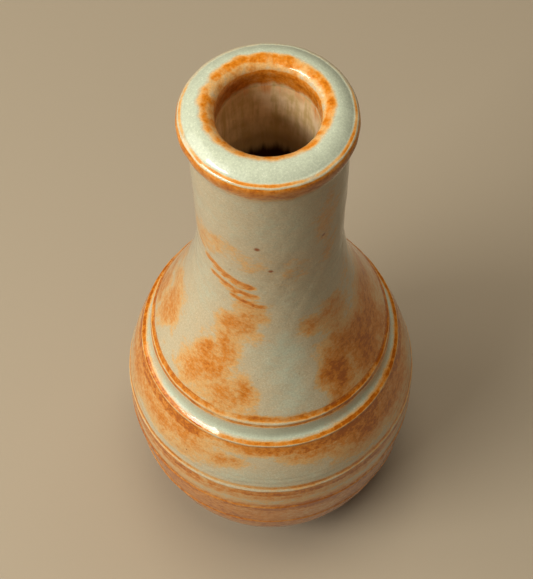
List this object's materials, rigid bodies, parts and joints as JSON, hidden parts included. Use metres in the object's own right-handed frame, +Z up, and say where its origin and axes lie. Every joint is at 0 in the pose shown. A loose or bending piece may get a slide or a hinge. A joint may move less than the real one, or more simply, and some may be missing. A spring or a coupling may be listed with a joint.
{
  "type": "bud vase",
  "caption": "Bottle-shaped stoneware bud vase: round belly with turned ridges, straight neck, broad domed rim, pale glaze breaking to rust at every edge, bare foot ring.",
  "frame": {"origin": "centre of the foot ring, on the surface that the vase stands on", "axes": "+Z up along the axis that the vase was turned about; it is round, so X and Y are interchangeable"},
  "size_m": [0.067, 0.067, 0.145],
  "materials": {
    "stoneware": "bare fired clay, matt, slightly sandy",
    "breaking_glaze": "gloss glaze, pale grey-green where thick, breaking to rust orange where thin, with iron specks",
    "liner_glaze": "thin satin tan glaze with runs down the neck",
    "recess_glaze": "satin glaze wiped into the recess under the foot"
  },
  "bodies": {
    "root": {"clay_body": "stoneware", "clay_neck": "stoneware", "outer_glaze": "breaking_glaze", "inner_glaze": "liner_glaze", "foot_glaze": "recess_glaze"}
  },
  "joints": []
}
